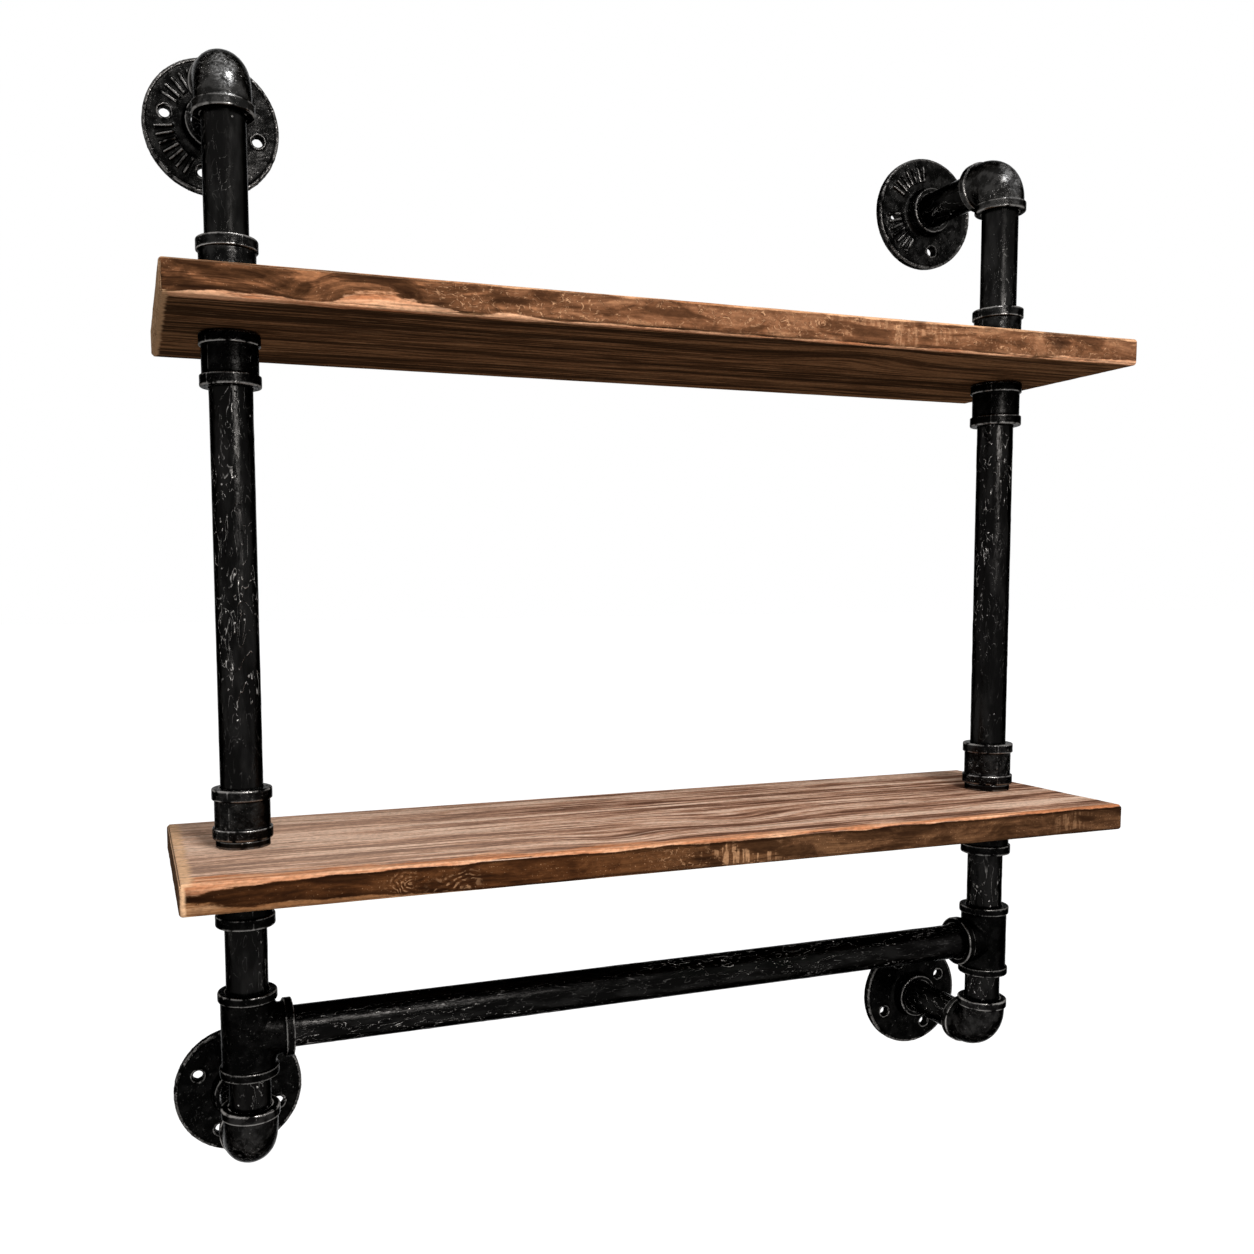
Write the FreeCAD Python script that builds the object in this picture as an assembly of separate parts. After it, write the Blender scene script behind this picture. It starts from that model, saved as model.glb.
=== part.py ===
import FreeCAD, Part
import math
import os

# A wall shelf of pipe and cast fittings, with two boards and a towel bar.
# The frame: the wall is the plane Y = 0, the shelf stands out towards -Y, X runs along the boards and Z is up.
# The origin is on the wall, halfway between the four flanges.
# All lengths are in millimetres and all angles in degrees.

# Driving dimensions of the pipe, the same for every length of it
pipe_radius = 13.35
pipe_wall = 2.87
pipe_end_chamfer = 0.9
thread_engagement = 12.5
thread_clearance = 0.15

# Driving dimensions of the cut lengths of pipe
towel_bar_length = 540.1
top_pipe_length = 96.7
long_pipe_length = 269.2
short_pipe_length = 66.7
tail_nipple_length = 45.0
wall_nipple_length = 78.0

# Driving dimensions of the cast fittings
fitting_wall = 3.8
band_height = 6.3
band_step = 1.5
band_mouth_radius = 1.0
step_edge_share = 0.5
step_root_share = 0.4
elbow_end_gap = 0.65
elbow_bend_core = 0.7
tee_end_gap = 1.75
tee_branch_relief = 0.6
tee_blend_radius = 2.4
coupling_wall = 4.4
coupling_gap = 7.2
coupling_band_height = 7.6
coupling_band_step = 0.9

# Driving dimensions of the wall flanges
flange_radius = 44.5
flange_rim_thickness = 7.0
flange_rim_width = 2.6
flange_rim_lip = 0.9
flange_edge_radius = 1.4
flange_lip_share = 0.4
flange_face_rise = 1.2
flange_back_radius = 0.5
hub_wall = 4.3
hub_draft = 1.6
hub_back_gap = 5.0
hub_root_radius = 2.4
screw_circle_radius = 30.5
screw_count = 4
screw_hole_radius = 3.25
screw_boss_radius = 5.6
screw_boss_rise = 0.8
screw_boss_edge_radius = 0.35
screw_countersink = 1.1
upper_flange_turn = 12.0
lower_flange_turn = 26.0

# Driving dimensions of the boards and of the rings under the couplings
board_thickness = 19.05
board_overhang = 43.35
board_front_reach = 94.65
board_wall_gap = 7.5
board_edge_radius = 2.4
board_corner_radius = 4.0
board_hole_clearance = 0.65
ring_thickness = 4.5
ring_width = 3.1
ring_clearance = 0.3
ring_edge_radius = 0.5

# Every cut runs this far past the face that it opens, and edges are told apart to this length
cut_overrun = 2.0
edge_match = 0.05

# Sizes that follow from the driving dimensions
pipe_bore_radius = pipe_radius - pipe_wall
socket_radius = pipe_radius + thread_clearance
body_radius = socket_radius + fitting_wall
band_radius = body_radius + band_step
coupling_body_radius = socket_radius + coupling_wall
coupling_band_radius = coupling_body_radius + coupling_band_step
coupling_length = 2 * thread_engagement + coupling_gap
elbow_reach = thread_engagement + pipe_radius + elbow_end_gap
elbow_bend_radius = body_radius + elbow_bend_core
tee_reach = thread_engagement + pipe_radius + tee_end_gap
tee_branch_radius = body_radius - tee_branch_relief
hub_radius = socket_radius + hub_wall
hub_root_outer_radius = hub_radius + hub_draft
hub_height = thread_engagement + hub_back_gap
flange_face_height = flange_rim_thickness - flange_rim_lip
flange_face_radius = flange_radius - flange_rim_width
ring_inner_radius = pipe_radius + ring_clearance
ring_outer_radius = ring_inner_radius + ring_width
board_hole_radius = pipe_radius + board_hole_clearance
board_nipple_length = board_thickness + ring_thickness + 2 * thread_engagement


def shown(length):
    """The stretch of a pipe that shows between the two fittings that it is screwed into."""
    return length - 2 * thread_engagement


# Places that follow: the pipes' stand-off from the wall, their spacing and the boards' outline
pipe_y = -(hub_height + shown(wall_nipple_length) + elbow_reach)
pipe_spacing = shown(towel_bar_length) + 2 * tee_reach
board_length = pipe_spacing + 2 * board_overhang
board_front_y = pipe_y - board_front_reach
board_back_y = -board_wall_gap

# Heights where the pieces of one side meet, counted up from the centre of the lower elbow.
# A pipe's foot is where it starts to show, and under or over a board is where that coupling starts.
tail_nipple_foot = elbow_reach
tee_foot = tail_nipple_foot + shown(tail_nipple_length)
short_pipe_foot = tee_foot + 2 * tee_reach
under_lower_board_foot = short_pipe_foot + shown(short_pipe_length)
lower_board_foot = under_lower_board_foot + coupling_length
lower_ring_foot = lower_board_foot + board_thickness
over_lower_board_foot = lower_ring_foot + ring_thickness
long_pipe_foot = over_lower_board_foot + coupling_length
under_upper_board_foot = long_pipe_foot + shown(long_pipe_length)
upper_board_foot = under_upper_board_foot + coupling_length
upper_ring_foot = upper_board_foot + board_thickness
over_upper_board_foot = upper_ring_foot + ring_thickness
top_pipe_foot = over_upper_board_foot + coupling_length
upper_elbow_height = top_pipe_foot + shown(top_pipe_length) + elbow_reach
middle_height = upper_elbow_height / 2

# Directions and turns
ORIGIN = FreeCAD.Vector(0, 0, 0)
X_AXIS = FreeCAD.Vector(1, 0, 0)
Y_AXIS = FreeCAD.Vector(0, 1, 0)
Z_AXIS = FreeCAD.Vector(0, 0, 1)
QUARTER_TURN = 90
HALF_TURN = 180
FULL_TURN = 360


def rounded_face(corners):
    """A face in the XZ half plane from corners (radius, height, rounding), each rounded by an arc."""
    points = [FreeCAD.Vector(radius, 0, height) for radius, height, rounding in corners]
    starts = []
    middles = []
    ends = []
    for i, corner in enumerate(points):
        rounding = corners[i][2]
        back = (points[i - 1] - corner).normalize()
        onward = (points[(i + 1) % len(points)] - corner).normalize()
        half_angle = back.getAngle(onward) / 2
        inward = (back + onward).normalize()
        run = rounding / math.tan(half_angle)
        starts.append(corner + back * run)
        middles.append(corner + inward * (rounding / math.sin(half_angle) - rounding))
        ends.append(corner + onward * run)
    edges = []
    for i, corner in enumerate(corners):
        if corner[2] > 0:
            edges.append(Part.Arc(starts[i], middles[i], ends[i]).toShape())
        edges.append(Part.LineSegment(ends[i], starts[(i + 1) % len(corners)]).toShape())
    return Part.Face(Part.Wire(edges))


def turned(corners):
    """A solid of revolution about Z."""
    return rounded_face(corners).revolve(ORIGIN, Z_AXIS, FULL_TURN)


def moved(shape, place, rotation):
    """A copy of the shape, turned about the origin and then moved to the place."""
    copy = shape.copy()
    copy.Placement = FreeCAD.Placement(place, rotation).multiply(copy.Placement)
    return copy


def placed(shape, place, direction=Z_AXIS):
    """A copy of the shape, which was made along Z, laid along the direction from the place."""
    return moved(shape, place, FreeCAD.Rotation(Z_AXIS, direction))


def spun(shape, axis, angle):
    """A copy of the shape, turned by an angle about an axis through the origin."""
    return moved(shape, ORIGIN, FreeCAD.Rotation(axis, angle))


# Pipe: a welded tube, its ends chamfered for the threads
def pipe(length):
    """A length of pipe along +Z from the origin."""
    return turned([
        (pipe_bore_radius, 0, 0),
        (pipe_radius - pipe_end_chamfer, 0, 0),
        (pipe_radius, pipe_end_chamfer, 0),
        (pipe_radius, length - pipe_end_chamfer, 0),
        (pipe_radius - pipe_end_chamfer, length, 0),
        (pipe_bore_radius, length, 0),
    ])


# Cast fittings: each end has a raised band round a socket for the pipe
def banded_end(length, end_body_radius):
    """The solid outside of a fitting's end, from its face at the origin inwards along +Z."""
    return turned([
        (0, 0, 0),
        (band_radius, 0, band_mouth_radius),
        (band_radius, band_height, band_step * step_edge_share),
        (end_body_radius, band_height, band_step * step_root_share),
        (end_body_radius, length, 0),
        (0, length, 0),
    ])


def socket():
    """What a fitting's socket takes out, from beyond its face at the origin inwards along +Z."""
    return Part.makeCylinder(socket_radius, thread_engagement + cut_overrun, Z_AXIS * -cut_overrun, Z_AXIS)


def fitting_core():
    """What one end of a tee is hollowed by: its socket and, beyond a shoulder, the waterway to its centre."""
    return socket().fuse(Part.makeCylinder(pipe_bore_radius, tee_reach, ORIGIN, Z_AXIS))


def quarter_bend(radius):
    """A round bar bent through a quarter turn, from below the origin to behind it."""
    foot = Z_AXIS * -elbow_bend_radius
    disc = Part.Face(Part.Wire(Part.makeCircle(radius, foot, Z_AXIS)))
    return disc.revolve(foot + Y_AXIS * elbow_bend_radius, X_AXIS, -QUARTER_TURN)


def elbow():
    """An elbow with its centre at the origin, one end down and the other towards the wall."""
    foot = Z_AXIS * -elbow_reach
    back = Y_AXIS * elbow_reach
    end = banded_end(elbow_reach - elbow_bend_radius, body_radius)
    outside = quarter_bend(body_radius)
    inside = quarter_bend(pipe_bore_radius)
    for face, inward in ((foot, Z_AXIS), (back, -Y_AXIS)):
        outside = outside.fuse(placed(end, face, inward))
        inside = inside.fuse(placed(socket(), face, inward))
    return outside.cut(inside).removeSplitter()


def lies_on_branch_root(edge):
    """Whether an edge of a tee is where its branch meets its run."""
    point = edge.valueAt((edge.FirstParameter + edge.LastParameter) / 2)
    off_run = abs(math.hypot(point.x, point.y) - body_radius)
    off_branch = abs(math.hypot(point.y, point.z) - tee_branch_radius)
    return max(off_run, off_branch) < edge_match


def tee():
    """A tee with its centre at the origin, its run along Z and its branch along +X."""
    # The branch is turned on its own axis, so that its seam lies at its side, clear of the blend
    branch = spun(banded_end(tee_reach, tee_branch_radius), Z_AXIS, QUARTER_TURN)
    run = banded_end(tee_reach, body_radius)
    outside = placed(branch, X_AXIS * tee_reach, -X_AXIS)
    inside = placed(fitting_core(), X_AXIS * tee_reach, -X_AXIS)
    for inward in (Z_AXIS, -Z_AXIS):
        outside = outside.fuse(placed(run, inward * -tee_reach, inward))
        inside = inside.fuse(placed(fitting_core(), inward * -tee_reach, inward))
    outside = outside.removeSplitter()
    blended = [edge for edge in outside.Edges if lies_on_branch_root(edge)]
    return outside.makeFillet(tee_blend_radius, blended).cut(inside)


def coupling():
    """A coupling along +Z from the origin, threaded right through."""
    edge_radius = coupling_band_step * step_edge_share
    root_radius = coupling_band_step * step_root_share
    return turned([
        (socket_radius, 0, 0),
        (coupling_band_radius, 0, band_mouth_radius),
        (coupling_band_radius, coupling_band_height, edge_radius),
        (coupling_body_radius, coupling_band_height, root_radius),
        (coupling_body_radius, coupling_length - coupling_band_height, root_radius),
        (coupling_band_radius, coupling_length - coupling_band_height, edge_radius),
        (coupling_band_radius, coupling_length, band_mouth_radius),
        (socket_radius, coupling_length, 0),
    ])


# Wall flange: a disc with a lipped rim, a hub for the nipple and screw holes in raised bosses
def face_height_at(radius):
    """The height of the flange's sloping face above its back, at a radius."""
    slope = flange_face_rise / (flange_face_radius - hub_root_outer_radius)
    return flange_face_height + slope * (flange_face_radius - radius)


def flange_disc():
    """The turned shape of a flange, its back at the origin and its hub along +Z."""
    lip_radius = flange_rim_lip * flange_lip_share
    return turned([
        (socket_radius, 0, 0),
        (flange_radius, 0, flange_back_radius),
        (flange_radius, flange_rim_thickness, flange_edge_radius),
        (flange_face_radius, flange_rim_thickness, lip_radius),
        (flange_face_radius, flange_face_height, lip_radius),
        (hub_root_outer_radius, face_height_at(hub_root_outer_radius), hub_root_radius),
        (hub_radius, hub_height, band_mouth_radius),
        (socket_radius, hub_height, 0),
    ])


def wall_flange():
    """A flange with its back at the origin, its hub along +Z and its first screw hole on X."""
    boss_top = face_height_at(screw_circle_radius) + screw_boss_rise
    boss = turned([
        (0, flange_back_radius, 0),
        (screw_boss_radius, flange_back_radius, 0),
        (screw_boss_radius, boss_top, screw_boss_edge_radius),
        (0, boss_top, 0),
    ])
    hole = turned([
        (0, -cut_overrun, 0),
        (screw_hole_radius, -cut_overrun, 0),
        (screw_hole_radius, boss_top - screw_countersink, 0),
        (screw_hole_radius + screw_countersink + cut_overrun, boss_top + cut_overrun, 0),
        (0, boss_top + cut_overrun, 0),
    ])
    flange = flange_disc()
    on_circle = X_AXIS * screw_circle_radius
    turns = [FULL_TURN * i / screw_count for i in range(screw_count)]
    for angle in turns:
        flange = flange.fuse(spun(placed(boss, on_circle), Z_AXIS, angle))
    for angle in turns:
        flange = flange.cut(spun(placed(hole, on_circle), Z_AXIS, angle))
    return flange


# Boards: planks with softened edges, bored for the pipes
def board():
    """A board with its underside at height zero and its place in X and Y."""
    corner = FreeCAD.Vector(-board_length / 2, board_front_y, 0)
    plank = Part.makeBox(board_length, board_back_y - board_front_y, board_thickness, corner)
    upright = [edge for edge in plank.Edges if edge.BoundBox.ZLength > edge_match]
    plank = plank.makeFillet(board_corner_radius, upright)
    outline = [edge for edge in plank.Edges if edge.BoundBox.ZLength < edge_match]
    plank = plank.makeFillet(board_edge_radius, outline)
    for side in (-1, 1):
        foot = FreeCAD.Vector(side * pipe_spacing / 2, pipe_y, -cut_overrun)
        plank = plank.cut(Part.makeCylinder(board_hole_radius, board_thickness + 2 * cut_overrun, foot, Z_AXIS))
    return plank


def spacer_ring():
    """A ring along +Z from the origin, which the coupling over a board stands on."""
    return turned([
        (ring_inner_radius, 0, 0),
        (ring_outer_radius, 0, 0),
        (ring_outer_radius, ring_thickness, ring_edge_radius),
        (ring_inner_radius, ring_thickness, 0),
    ])


def side_pieces(name, side):
    """The pieces of one side by name; side is -1 at the left and 1 at the right."""
    pipe_x = side * pipe_spacing / 2

    def at(height):
        return FreeCAD.Vector(pipe_x, pipe_y, height - middle_height)

    upright_pieces = {
        "tail_nipple": (pipe(tail_nipple_length), tail_nipple_foot - thread_engagement),
        "short_pipe": (pipe(short_pipe_length), short_pipe_foot - thread_engagement),
        "coupling_under_lower_board": (coupling(), under_lower_board_foot),
        "nipple_through_lower_board": (pipe(board_nipple_length), lower_board_foot - thread_engagement),
        "spacer_ring_on_lower_board": (spacer_ring(), lower_ring_foot),
        "coupling_over_lower_board": (coupling(), over_lower_board_foot),
        "long_pipe": (pipe(long_pipe_length), long_pipe_foot - thread_engagement),
        "coupling_under_upper_board": (coupling(), under_upper_board_foot),
        "nipple_through_upper_board": (pipe(board_nipple_length), upper_board_foot - thread_engagement),
        "spacer_ring_on_upper_board": (spacer_ring(), upper_ring_foot),
        "coupling_over_upper_board": (coupling(), over_upper_board_foot),
        "top_pipe": (pipe(top_pipe_length), top_pipe_foot - thread_engagement),
    }
    pieces = {f"{name}_{key}": placed(shape, at(foot)) for key, (shape, foot) in upright_pieces.items()}

    # The branch of each tee points at the other side
    branch_turn = 0 if side < 0 else HALF_TURN
    pieces[f"{name}_tee"] = placed(spun(tee(), Z_AXIS, branch_turn), at(tee_foot + tee_reach))
    pieces[f"{name}_upper_elbow"] = placed(elbow(), at(upper_elbow_height))
    pieces[f"{name}_lower_elbow"] = placed(spun(elbow(), Y_AXIS, HALF_TURN), at(0))

    # The flanges are turned on their nipples as they came up tight, alike on both sides
    for level, height, turn in (
        ("upper", upper_elbow_height, upper_flange_turn),
        ("lower", 0, lower_flange_turn),
    ):
        on_wall = FreeCAD.Vector(pipe_x, 0, height - middle_height)
        nipple_end = on_wall - Y_AXIS * (hub_height - thread_engagement)
        flange = spun(placed(wall_flange(), ORIGIN, -Y_AXIS), Y_AXIS, -side * turn)
        pieces[f"{name}_{level}_wall_flange"] = placed(flange, on_wall)
        pieces[f"{name}_{level}_wall_nipple"] = placed(pipe(wall_nipple_length), nipple_end, -Y_AXIS)
    return pieces


def shelf_pieces():
    """Every piece of the shelf by name."""
    pieces = side_pieces("left", -1)
    pieces.update(side_pieces("right", 1))
    pieces["lower_board"] = placed(board(), Z_AXIS * (lower_board_foot - middle_height))
    pieces["upper_board"] = placed(board(), Z_AXIS * (upper_board_foot - middle_height))
    bar_end = FreeCAD.Vector(-towel_bar_length / 2, pipe_y, tee_foot + tee_reach - middle_height)
    pieces["towel_bar"] = placed(pipe(towel_bar_length), bar_end, X_AXIS)
    return pieces


os.makedirs("parts", exist_ok=True)
for node, shape in shelf_pieces().items():
    shape.exportStep(f"parts/{node}.step")
    print(f"{node}: {shape.Volume:.0f} mm3, valid {shape.isValid()}, solids {len(shape.Solids)}")
print(f"pipes {-pipe_y:.2f} off the wall and {pipe_spacing:.2f} apart")
print(f"boards {board_length:.2f} long and {board_back_y - board_front_y:.2f} deep")
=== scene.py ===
import math

import bmesh
import bpy
import numpy as np
from mathutils import Euler, Matrix, Vector


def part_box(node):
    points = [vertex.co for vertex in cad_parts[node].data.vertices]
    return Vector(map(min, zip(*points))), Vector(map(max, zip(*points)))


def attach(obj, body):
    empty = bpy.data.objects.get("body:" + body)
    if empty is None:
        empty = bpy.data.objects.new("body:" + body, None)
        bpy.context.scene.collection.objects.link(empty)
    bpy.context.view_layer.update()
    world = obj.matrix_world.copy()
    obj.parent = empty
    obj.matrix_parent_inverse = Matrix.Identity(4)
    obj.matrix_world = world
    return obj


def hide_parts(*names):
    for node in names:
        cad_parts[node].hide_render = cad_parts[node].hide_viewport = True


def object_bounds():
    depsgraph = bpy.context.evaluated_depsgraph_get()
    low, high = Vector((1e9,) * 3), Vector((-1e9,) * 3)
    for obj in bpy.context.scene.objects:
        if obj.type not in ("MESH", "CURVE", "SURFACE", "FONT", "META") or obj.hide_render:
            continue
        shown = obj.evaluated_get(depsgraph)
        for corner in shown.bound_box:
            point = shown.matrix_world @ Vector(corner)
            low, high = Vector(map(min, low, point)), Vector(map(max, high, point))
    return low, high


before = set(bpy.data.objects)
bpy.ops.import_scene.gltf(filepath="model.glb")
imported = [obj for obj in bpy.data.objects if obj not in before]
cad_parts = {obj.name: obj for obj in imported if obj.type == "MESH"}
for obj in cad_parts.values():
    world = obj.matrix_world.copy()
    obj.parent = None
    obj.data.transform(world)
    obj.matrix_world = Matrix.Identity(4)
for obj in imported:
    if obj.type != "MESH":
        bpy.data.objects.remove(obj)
cad_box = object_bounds()
SIDES = ("left", "right")
MM = 0.001

# Pipes and towel bar: drawn steel tube with a thread at each end, cut to eight lengths a side and one long
# one. The steel keeps its black scale under a thin lacquer, which is wrinkled where it ran and worn through
# on its high spots; the bare iron there is also a painted highlight, pale under any lamp.
PIPE_WALL = 2.87 * MM
PIPE_END_CHAMFER = 0.9 * MM
PIPE_STEP = 1.15 * MM
PIPE_STEPS_ROUND = 96
ONE_RUN = 10.0
SKIN_MARKS = ("Lump depth", "Lump size", "Grain depth", "Grain size", "Wrinkle depth", "Wrinkle size")
PIPE_SKIN = (0.12 * MM, 15 * MM, 0.07 * MM, 3.2 * MM, 0.13 * MM, 9 * MM)
SMOOTH_PIPE_SKIN = (0.10 * MM, 15 * MM, 0.04 * MM, 3.2 * MM, 0.03 * MM, 9 * MM)
PIPE_STRETCH = 0.30
BAR_STRETCH = 0.26
PIPE_LENGTHS = (
    "top_pipe",
    "long_pipe",
    "short_pipe",
    "tail_nipple",
    "nipple_through_upper_board",
    "nipple_through_lower_board",
    "upper_wall_nipple",
    "lower_wall_nipple",
)
SMOOTH_LENGTHS = ("left_top_pipe", "right_top_pipe")
SHARP_ANGLE = math.radians(48)
WRINKLE_WIDTH = 0.06
SEED_STEP = 0.5
EVEN = (1.0, 1.0, 1.0)
LUMP_SIZES = 4.5
PATCH_SIZES = 20.0
LINE_SIZES = 3.4
DOT_SIZES = 2.6
LINE_WIDTH = 0.013
SPECK_EDGE = (0.14, 0.06)
SPECK_CHOICE = (0.78, 0.88)
SHARP_EDGES = (0.509, 0.535)
SCALE_TINT = (1.0, 0.96, 0.92)
# Bare iron, which is also the colour of painted highlights and glints
BARE_STEEL_AND_GLINT = (0.42, 0.40, 0.38)
RIM_TINT = (0.32, 0.32, 0.32)
# Pale grey of the patch on faces that look one way: bare iron and painted highlight
WORN_HIGHLIGHT_GREY = (0.24, 0.237, 0.234)


def rounded_outline(corners, step):
    """Points (along, out) round a closed outline of corners (along, out, rounding), at most a step apart."""
    spots = [Vector(corner[:2]) for corner in corners]
    points = []
    for i, spot in enumerate(spots):
        rounding = corners[i][2]
        onward_spot = spots[(i + 1) % len(spots)]
        back = (spots[i - 1] - spot).normalized()
        onward = (onward_spot - spot).normalized()
        half_angle = back.angle(onward) / 2
        run = rounding / math.tan(half_angle)
        centre = spot + (back + onward).normalized() * (rounding / math.sin(half_angle))
        start = spot + back * run
        end = spot + onward * run
        if rounding > 0:
            arc_steps = max(3, math.ceil(rounding * (math.pi - 2 * half_angle) / step))
            first = math.atan2(start.y - centre.y, start.x - centre.x)
            sweep = math.atan2(end.y - centre.y, end.x - centre.x) - first
            sweep = (sweep + math.pi) % math.tau - math.pi
            for k in range(arc_steps):
                angle = first + sweep * k / arc_steps
                points.append(centre + Vector((math.cos(angle), math.sin(angle))) * rounding)
        next_angle = (spot - onward_spot).angle(spots[(i + 2) % len(spots)] - onward_spot) / 2
        next_run = corners[(i + 1) % len(corners)][2] / math.tan(next_angle)
        last = onward_spot - onward * next_run
        runs = max(1, math.ceil((last - end).length / (corners[i][3] if len(corners[i]) > 3 else step)))
        points.extend(end.lerp(last, k / runs) for k in range(runs))
    return np.array([tuple(point) for point in points])


def turned_mesh(name, outline, steps_round):
    """A closed skin of quads: the outline of (height, radius) turned about Z."""
    turn = np.linspace(0, math.tau, steps_round, endpoint=False)
    along, out = outline.T[:, :, None]
    points = np.stack([out * np.cos(turn), out * np.sin(turn), along + 0 * turn], -1)
    ring, spoke = np.meshgrid(np.arange(len(outline)), np.arange(steps_round), indexing="ij")
    next_ring = (ring + 1) % len(outline)
    next_spoke = (spoke + 1) % steps_round
    corners = [ring * steps_round + spoke, ring * steps_round + next_spoke,
               next_ring * steps_round + next_spoke, next_ring * steps_round + spoke]
    mesh = bpy.data.meshes.new(name)
    mesh.from_pydata(points.reshape(-1, 3).tolist(), [], np.stack(corners, -1).reshape(-1, 4).tolist())
    return mesh


def lay_along(mesh, start, direction=(0, 0, 1)):
    """Lays a mesh that was made about Z along a direction from its start."""
    turn = Vector((0, 0, 1)).rotation_difference(Vector(direction)).to_matrix().to_4x4()
    mesh.transform(Matrix.Translation(start) @ turn)


def add_node(tree, kind, inputs=None, **settings):
    """A new node of the tree with its settings, and its inputs as values or as other nodes' sockets."""
    node = tree.nodes.new(kind)
    for key, value in settings.items():
        setattr(node, key, value)
    for key, value in (inputs or {}).items():
        if isinstance(value, bpy.types.NodeSocket):
            tree.links.new(value, node.inputs[key])
        else:
            node.inputs[key].default_value = value
    return node


def maths(tree, operation, *values):
    """The result of a Math node on values or sockets."""
    return add_node(tree, "ShaderNodeMath", dict(enumerate(values)), operation=operation).outputs[0]


def times(tree, first, second):
    """The product of two values."""
    return maths(tree, "MULTIPLY", first, second)


def times_plus(tree, first, second, third):
    """The product of two values, and a third added to it."""
    return maths(tree, "MULTIPLY_ADD", first, second, third)


def xyz(tree, x=0.0, y=0.0, z=0.0):
    """The vector of three values."""
    return add_node(tree, "ShaderNodeCombineXYZ", {0: x, 1: y, 2: z}).outputs[0]


def geometry_tree(name, inputs):
    """A Geometry Nodes tree with a geometry in and out and named inputs, with its input and output nodes."""
    tree = bpy.data.node_groups.new(name, "GeometryNodeTree")
    tree.interface.new_socket("Geometry", in_out="INPUT", socket_type="NodeSocketGeometry")
    for key, kind in inputs.items():
        tree.interface.new_socket(key, in_out="INPUT", socket_type=f"NodeSocket{kind}")
    tree.interface.new_socket("Geometry", in_out="OUTPUT", socket_type="NodeSocketGeometry")
    return tree, tree.nodes.new("NodeGroupInput").outputs, tree.nodes.new("NodeGroupOutput").inputs


def end_tree(tree, form, finish, result):
    """Gives out a tree's form as one real mesh in the finish."""
    form = add_node(tree, "GeometryNodeRealizeInstances", {"Geometry": form}).outputs[0]
    form = add_node(tree, "GeometryNodeSetMaterial", {"Geometry": form, "Material": finish}).outputs[0]
    tree.links.new(form, result["Geometry"])


def add_object(name, data):
    """A new object of the scene."""
    thing = bpy.data.objects.new(name, data)
    bpy.context.scene.collection.objects.link(thing)
    return thing


def shaped(piece):
    """A new mesh of what an object's modifiers make of it."""
    graph = bpy.context.evaluated_depsgraph_get()
    return bpy.data.meshes.new_from_object(piece.evaluated_get(graph))


def grown(name, mesh, tree, inputs):
    """The piece that a tree makes of a mesh, with the tree's inputs set by name, as one plain mesh."""
    piece = add_object(name, mesh)
    modifier = piece.modifiers.new(tree.name, "NODES")
    modifier.node_group = tree
    for socket in tree.interface.items_tree:
        if socket.in_out == "INPUT" and socket.name in inputs:
            modifier[socket.identifier] = inputs[socket.name]
    piece.data = shaped(piece)
    piece.modifiers.clear()
    piece.data.set_sharp_from_angle(angle=SHARP_ANGLE)
    return piece


def noise(tree, place, size, detail=2.0, rough=0.5, distortion=0.0):
    """A noise whose largest marks have the given size in metres: half of it lies from 0.45 to 0.55."""
    scale = 1 / size if isinstance(size, float) else maths(tree, "DIVIDE", 1.0, size)
    marks = add_node(tree, "ShaderNodeTexNoise", {
        "Vector": place, "Scale": scale, "Detail": detail, "Roughness": rough, "Distortion": distortion})
    return marks.outputs["Fac"]


def between(tree, value, low, high, to_low=0.0, to_high=1.0):
    """The value's place between low and high, eased at both ends, from to_low to to_high."""
    return add_node(tree, "ShaderNodeMapRange", {
        "Value": value, "From Min": low, "From Max": high, "To Min": to_low, "To Max": to_high},
        interpolation_type="SMOOTHSTEP").outputs[0]


def wandering_lines(tree, place, size, width, detail=2.0, distortion=0.0, level=0.5):
    """1 along thin lines that wander about a size apart. Another level gives lines beside them."""
    height = noise(tree, place, size, detail=detail, distortion=distortion)
    return between(tree, maths(tree, "ABSOLUTE", maths(tree, "SUBTRACT", height, level)), width, 0.0)


def uneven_skin_tree():
    """A skin let down by lumps, by grain and between wrinkles, and never above its true size."""
    tree, given, result = geometry_tree("Uneven skin", {
        **dict.fromkeys(SKIN_MARKS, "Float"), "Stretch": "Vector", "Seed": "Float", "Finish": "Material"})
    place = add_node(tree, "GeometryNodeInputPosition").outputs[0]
    place = add_node(tree, "ShaderNodeVectorMath", {
        0: place, 1: given["Stretch"], 2: xyz(tree, given["Seed"])}, operation="MULTIPLY_ADD").outputs[0]
    lumps = noise(tree, place, given["Lump size"])
    grain = noise(tree, place, given["Grain size"])
    wrinkles = wandering_lines(tree, place, given["Wrinkle size"], WRINKLE_WIDTH, distortion=0.8)
    wrinkles = times(tree, wrinkles, between(tree, lumps, 0.42, 0.58))
    drop = times(tree, lumps, given["Lump depth"])
    drop = times_plus(tree, grain, given["Grain depth"], drop)
    drop = times_plus(tree, maths(tree, "SUBTRACT", 1.0, wrinkles), given["Wrinkle depth"], drop)
    normal = add_node(tree, "GeometryNodeInputNormal").outputs[0]
    inward = add_node(tree, "ShaderNodeVectorMath", {0: normal, "Scale": times(tree, drop, -1.0)},
                      operation="SCALE").outputs[0]
    skin = add_node(tree, "GeometryNodeSetPosition", {
        "Geometry": given["Geometry"], "Offset": inward}).outputs[0]
    skin = add_node(tree, "GeometryNodeSetShadeSmooth", {"Geometry": skin}).outputs[0]
    end_tree(tree, skin, given["Finish"], result)
    return tree


def object_place(tree, stretch=(1, 1, 1)):
    """The place on the object, in metres, stretched along the axes."""
    place = add_node(tree, "ShaderNodeTexCoord").outputs["Object"]
    return add_node(tree, "ShaderNodeMapping", {"Vector": place, "Scale": stretch}).outputs[0]


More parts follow.
